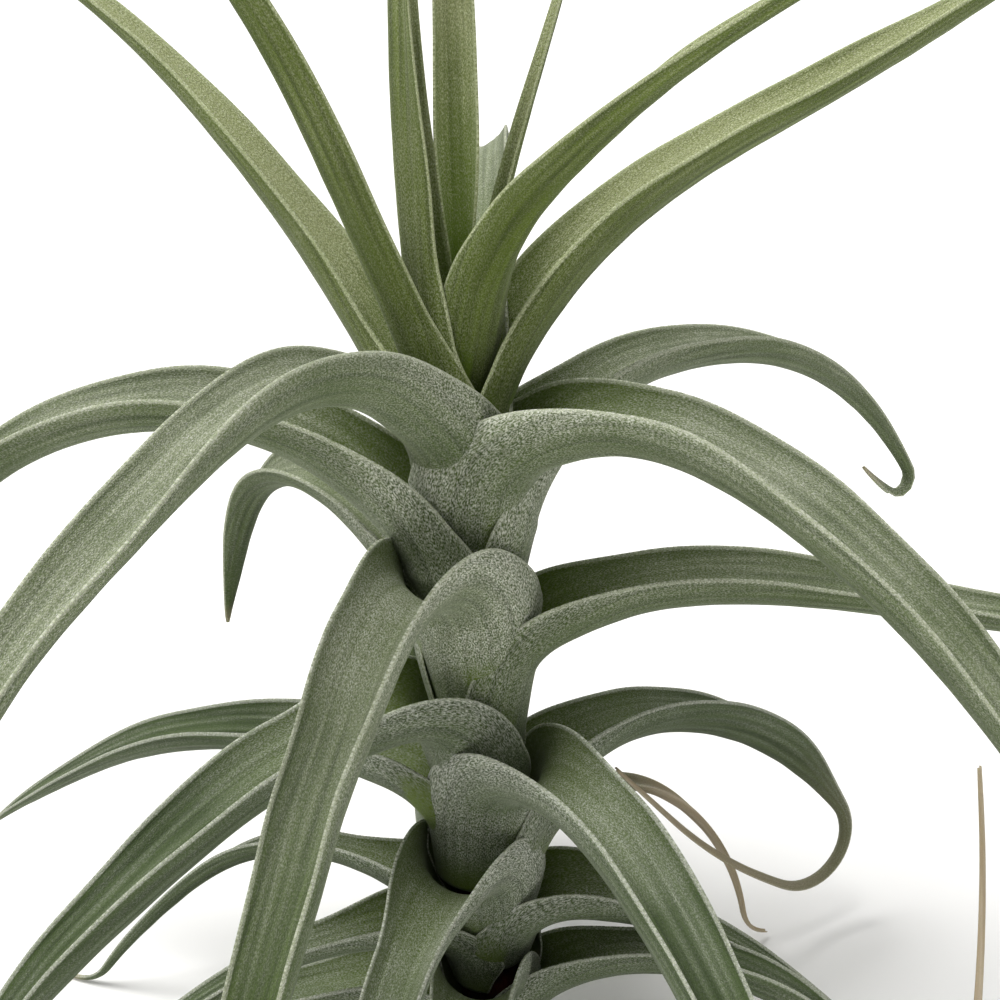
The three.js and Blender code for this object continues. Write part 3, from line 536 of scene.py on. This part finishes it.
def leaf_skin(name, tissue, throat, felt, speck, rim_hue, felt_shares, dry):
    """Living leaf of an air plant: green flesh under a felt of dry silver scales, which makes it matt
    and grey-green, and a thin waxy skin, which gives a faint soft sheen. The felt is thick round the
    mouth of the sheath and in creases. It is also made thicker and paler high on the plant and on
    faces that look up, and thinner and darker low down and on faces that look down: painted light
    and shade, as the lamp overhead and the leaves above would give. It is nearly missing deep in the
    sheath, where the flesh is yellow-green. Single scales catch the light as silver specks, the
    margin is lined with them, and dead ends turn straw brown. tissue and dry are pairs of hues that
    the veins change between. felt_shares are the felt of the outer face, of the inner face and of
    the hood round the mouth."""
    material, tree = fresh_material(name)

    def fact(which):
        return add(tree, "ShaderNodeAttribute", attribute_name=which).outputs["Fac"]

    def maths(operation, *values, clamp=False):
        return add(tree, "ShaderNodeMath", dict(enumerate(values)), operation=operation,
                   use_clamp=clamp).outputs[0]

    def spread(value, low, high, to_low=0.0, to_high=1.0):
        return add(tree, "ShaderNodeMapRange",
                   {"Value": value, "From Min": low, "From Max": high, "To Min": to_low,
                    "To Max": to_high}).outputs[0]

    def blend(share, a, b):
        return add(tree, "ShaderNodeMix", {"Factor": share, "A": a, "B": b},
                   data_type="RGBA").outputs["Result"]

    along, across, face, edge = fact("along"), fact("across"), fact("face"), fact("margin")
    place = add(tree, "ShaderNodeTexCoord").outputs["Object"]

    # Veins: long streaks that follow the leaf.
    flow = add(tree, "ShaderNodeCombineXYZ",
               {0: maths("DIVIDE", across, STREAK_SPACING), 1: maths("DIVIDE", along, STREAK_LENGTH),
                2: face}).outputs[0]
    streak = add(tree, "ShaderNodeTexNoise", {"Vector": flow, "Scale": 1.0, "Detail": 2.0}).outputs[0]
    blotch = add(tree, "ShaderNodeTexNoise",
                 {"Vector": place, "Scale": 1 / (BLOTCH_SIZE * MM), "Detail": 3.0}).outputs[0]
    tufts = add(tree, "ShaderNodeTexNoise",
                {"Vector": place, "Scale": 1 / (TUFT_SPACING * MM), "Detail": 2.0}).outputs[0]

    # Felt: small cells, each a scale of its own brightness, with darker gaps between them.
    cells = add(tree, "ShaderNodeTexVoronoi",
                {"Vector": place, "Scale": 1 / (SCALE_SPACING * MM), "Randomness": 1.0})
    scale_tone = add(tree, "ShaderNodeSeparateColor", {0: cells.outputs["Color"]}).outputs[0]
    scale_body = spread(cells.outputs["Distance"], 0.15, 0.60, 1.0, 0.0)
    scale = maths("MULTIPLY", scale_body, spread(scale_tone, 0.15, 0.95))
    lie = add(tree, "ShaderNodeCombineXYZ",
              {0: maths("DIVIDE", across, HAIR_WIDTH), 1: maths("DIVIDE", along, HAIR_LENGTH),
               2: maths("MULTIPLY", face, 50.0)}).outputs[0]
    hairs = add(tree, "ShaderNodeTexNoise", {"Vector": lie, "Scale": 1.0, "Detail": 1.5}).outputs[0]
    grain = maths("ADD", maths("MULTIPLY", scale, GRAIN_SHARES[0]),
                  spread(hairs, 0.44, 0.72, 0.0, GRAIN_SHARES[1]))
    # which way a face looks, for painted light on faces that look up and painted shade on those that
    # look down
    up = add(tree, "ShaderNodeSeparateXYZ",
             {0: add(tree, "ShaderNodeNewGeometry").outputs["Normal"]}).outputs[2]

    # How thick the felt lies: by face, painted light and shade by height and facing, then patches,
    # veins and the margin.
    rim = spread(edge, *LINING_AT)
    hood = maths("MINIMUM", spread(along, HOOD_FROM, HOOD_FULL), spread(along, HOOD_ENDS, HOOD_THINS))
    buried = maths("MAXIMUM", maths("MULTIPLY", spread(along, THROAT_ENDS, 0.0), face),
                   maths("MULTIPLY", fact("sunk"), SUNK_GREEN))
    height = add(tree, "ShaderNodeSeparateXYZ", {0: place}).outputs[2]
    # painted shade on low leaves and painted light on high ones
    height_shade = spread(height, *(mm * MM for mm in PAINTED_SHADE_HEIGHTS), *PAINTED_SHADE_SHARES)
    outer_felt, inner_felt, hood_felt = felt_shares
    hooded = maths("MULTIPLY", hood, fact("hood_felt"))
    creased = maths("MAXIMUM", face, spread(along, *OUTER_CREASE_AT, 0.0, OUTER_CREASE))
    creased = maths("MULTIPLY", fact("crease"), creased)
    cover = maths("MULTIPLY", spread(face, 0.0, 1.0, outer_felt, inner_felt), height_shade)
    cover = maths("ADD", cover, maths("MULTIPLY", hooded, hood_felt))
    # painted light and shade: more pale felt on faces that look up, less on faces that look down
    cover = maths("MULTIPLY", cover, spread(up, -0.5, 0.95, *PAINTED_LIGHT_FACING_SHARES))
    cover = maths("ADD", cover, maths("MULTIPLY", creased, CREASE_FELT))
    cover = maths("MULTIPLY", cover, spread(blotch, 0.3, 0.7, 0.65, 1.3))
    cover = maths("MULTIPLY", cover, spread(streak, 0.3, 0.7, 0.75, 1.25))
    cover = maths("MULTIPLY", cover, spread(buried, 0.0, 1.0, 1.0, BURIED_FELT))
    cover = maths("MAXIMUM", cover, maths("MULTIPLY", rim, LINING_FELT), clamp=True)

    # Its grain: bright specks where scales stand up, and gaps between them that show the flesh.
    rough = maths("ADD", spread(face, 0.0, 1.0, *FACE_GRAIN), maths("MULTIPLY", hood, HOOD_GRAIN))
    specks = maths("MULTIPLY", maths("MULTIPLY", grain, rough),
                   maths("MULTIPLY", cover, spread(tufts, 0.3, 0.7, 0.7, 1.4)), clamp=True)
    gaps = maths("MULTIPLY", rough, spread(grain, 0.0, 0.5, 0.75, 0.0), clamp=True)

    flesh = blend(spread(streak, 0.35, 0.65), linear(tissue[0]), linear(tissue[1]))
    flesh = blend(buried, flesh, linear(throat))
    colour = blend(maths("MULTIPLY", cover, maths("SUBTRACT", 1.0, gaps)), flesh, linear(felt))
    colour = blend(maths("MULTIPLY", rim, spread(grain, 0.0, 0.8, 0.25, 0.8)), colour, linear(rim_hue))
    colour = blend(specks, colour, linear(speck))
    straw = blend(spread(streak, 0.3, 0.7), linear(dry[0]), linear(dry[1]))
    colour = blend(fact("dryness"), colour, straw)

    relief = maths("ADD", maths("MULTIPLY", scale, SKIN_RELIEF), maths("MULTIPLY", streak, SKIN_RELIEF))
    bump = add(tree, "ShaderNodeBump", {"Height": relief, "Strength": 0.8, "Distance": MM})
    shader = add(tree, "ShaderNodeBsdfPrincipled",
                 {"Base Color": colour, "Normal": bump.outputs[0], "Roughness": 0.7,
                  "IOR": 1.42, "Specular IOR Level": 0.3, "Subsurface Weight": 0.10,
                  "Subsurface Radius": (1.0, 1.3, 0.45), "Subsurface Scale": 1.2 * MM,
                  "Sheen Weight": 0.2, "Sheen Roughness": 0.45, "Sheen Tint": linear("#e2e5d8")})
    add(tree, "ShaderNodeOutputMaterial", {"Surface": shader.outputs[0]})
    return material


FIBRE_SPACING = 1.4      # bundles of dead fibres, side by side
FIBRE_DRAW = 0.16        # their width as a share of their length
RUST_SPACING = 7.0


def dry_bark(name):
    """Old stem: dead fibrous tissue, near black and quite matt, with ragged lengthwise fibres and
    wine-red patches."""
    material, tree = fresh_material(name)
    place = add(tree, "ShaderNodeTexCoord").outputs["Object"]
    drawn = add(tree, "ShaderNodeMapping",
                {"Vector": place, "Scale": (1.0, 1.0, FIBRE_DRAW)}).outputs[0]
    fibres = add(tree, "ShaderNodeTexNoise",
                 {"Vector": drawn, "Scale": 1 / (FIBRE_SPACING * MM), "Detail": 5.0,
                  "Roughness": 0.65}).outputs[0]
    rust = add(tree, "ShaderNodeTexNoise",
               {"Vector": place, "Scale": 1 / (RUST_SPACING * MM), "Detail": 2.0}).outputs[0]
    ramp = add(tree, "ShaderNodeValToRGB", {"Fac": fibres})
    ramp.color_ramp.elements[0].position, ramp.color_ramp.elements[0].color = 0.32, linear("#0d0a08")
    ramp.color_ramp.elements[1].position, ramp.color_ramp.elements[1].color = 0.72, linear("#332a20")
    patch = add(tree, "ShaderNodeMapRange", {"Value": rust, "From Min": 0.48, "From Max": 0.62,
                                            "To Max": 0.85}).outputs[0]
    colour = add(tree, "ShaderNodeMix", {"Factor": patch, "A": ramp.outputs[0],
                                        "B": linear("#5c2418")}, data_type="RGBA").outputs["Result"]
    bump = add(tree, "ShaderNodeBump", {"Height": fibres, "Strength": 1.0, "Distance": 0.5 * MM})
    shader = add(tree, "ShaderNodeBsdfPrincipled",
                 {"Base Color": colour, "Normal": bump.outputs[0], "Roughness": 0.92,
                  "Specular IOR Level": 0.25})
    add(tree, "ShaderNodeOutputMaterial", {"Surface": shader.outputs[0]})
    return material


# Old leaves have the greyest felt. Young ones have fresh green flesh under a greener felt, which is
# thin outside and thicker in the channel. DEAD is the straw of a dead blade.
DEAD = ("#c4b69e", "#a18e71")
SKINS = {
    # the old leaves' flesh is a little darker than the grown leaves', as painted shade from the leaves
    # above them
    "leaf_old": leaf_skin("old_leaf_felt", ("#2e3e18", "#445628"), "#5c7012", "#989d89", "#e0e2d8",
                          "#c2c4b6", (0.40, 0.20, 0.44), DEAD),
    "leaf_grown": leaf_skin("grown_leaf_felt", ("#304212", "#475b1f"), "#5e7410", "#999e84",
                            "#e0e2d5", "#c3c6b0", (0.30, 0.20, 0.42), DEAD),
    "leaf_young": leaf_skin("young_leaf_felt", ("#394806", "#52640f"), "#64800c", "#9da274",
                            "#dce1c0", "#c0c6a0", (0.12, 0.42, 0.08), DEAD),
}

# ---- The plant ----------------------------------------------------------------------------------

slots = {part["node"]: part["material_slot"] for part in frame["record"]["subparts"]}
for order, leaf in enumerate(LEAVES):
    mesh = leaf_mesh(leaf, LEAVES[:order], np.random.default_rng(40 + order))
    skin = bpy.data.objects.new(leaf["name"] + "_skin", mesh)
    bpy.context.scene.collection.objects.link(skin)
    slot = slots[leaf["name"]]
    skin.data.materials.append(SKINS[slot])
    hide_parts(leaf["name"])
    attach(skin, "root")

stem = frame["nodes"]["stem"]
stem.material_slots[0].material = dry_bark("dead_stem_fibre")

# ---- Floor, light and camera ----------------------------------------------------------------------

VIEW_UP = 22.0           # the camera looks down by this many degrees
VIEW_DISTANCE = 280.0
VIEW_ANGLE = 34.0        # field of view
VIEW_AIM = (5.0, 0.0, 122.0)
VIEW_ROLL = -1.9         # and it leans sideways by this many

WALL_LIGHT, CEILING_LIGHT = 0.15, 0.72
LAMP_FROM = (-0.40, -0.18, 1.0)     # high, from the left and a little from the front
LAMP_SPREAD = 32.0       # degrees, so that shadows have soft edges
LAMP_STRENGTH = 2.95

FLOOR_HALF = 4.0         # metres
mesh = bpy.data.meshes.new("floor")
mesh.from_pydata([(-FLOOR_HALF, -FLOOR_HALF, 0), (FLOOR_HALF, -FLOOR_HALF, 0),
                  (FLOOR_HALF, FLOOR_HALF, 0), (-FLOOR_HALF, FLOOR_HALF, 0)], [], [(0, 1, 2, 3)])
floor = bpy.data.objects.new("floor", mesh)
bpy.context.scene.collection.objects.link(floor)
paper, tree = fresh_material("matt_white_paper")
shader = add(tree, "ShaderNodeBsdfPrincipled",
             {"Base Color": linear("#fbfaf8"), "Roughness": 0.9, "Specular IOR Level": 0.1})
add(tree, "ShaderNodeOutputMaterial", {"Surface": shader.outputs[0]})
floor.data.materials.append(paper)

# A studio dome, bright overhead and dim at the walls, and one broad lamp high on the left: the tops
# of the leaves are light and their undersides stay dark.
world = bpy.data.worlds.new("studio_dome")
bpy.context.scene.world = world
world.use_nodes = True
tree = world.node_tree
heading = add(tree, "ShaderNodeSeparateXYZ",
              {0: add(tree, "ShaderNodeTexCoord").outputs["Generated"]}).outputs[2]
dome = add(tree, "ShaderNodeMapRange",
           {"Value": heading, "From Min": 0.0, "From Max": 0.9, "To Min": WALL_LIGHT,
            "To Max": CEILING_LIGHT}, interpolation_type="SMOOTHSTEP").outputs[0]
background = tree.nodes["Background"]
background.inputs["Color"].default_value = linear("#ffffff")
tree.links.new(dome, background.inputs["Strength"])

lamp = bpy.data.lights.new("broad_lamp", "SUN")
lamp.angle, lamp.energy = math.radians(LAMP_SPREAD), LAMP_STRENGTH
light = bpy.data.objects.new("broad_lamp", lamp)
light.rotation_euler = (-Vector(LAMP_FROM)).to_track_quat("-Z", "Y").to_euler()
bpy.context.scene.collection.objects.link(light)

up = math.radians(VIEW_UP)
roll = math.radians(VIEW_ROLL)
forward = Vector((0, math.cos(up), -math.sin(up)))
level = Vector((1, 0, 0))
upright = level.cross(forward)
right = level * math.cos(roll) + upright * math.sin(roll)
above = upright * math.cos(roll) - level * math.sin(roll)
camera = bpy.data.objects.new("camera", bpy.data.cameras.new("camera"))
camera.data.angle = math.radians(VIEW_ANGLE)
camera.data.clip_start = 0.01
turned = Matrix((right, above, -forward)).transposed().to_4x4()
camera.matrix_world = Matrix.Translation((Vector(VIEW_AIM) - forward * VIEW_DISTANCE) * MM) @ turned
bpy.context.scene.collection.objects.link(camera)
bpy.context.scene.camera = camera
bpy.context.scene.view_settings.view_transform = "Standard"
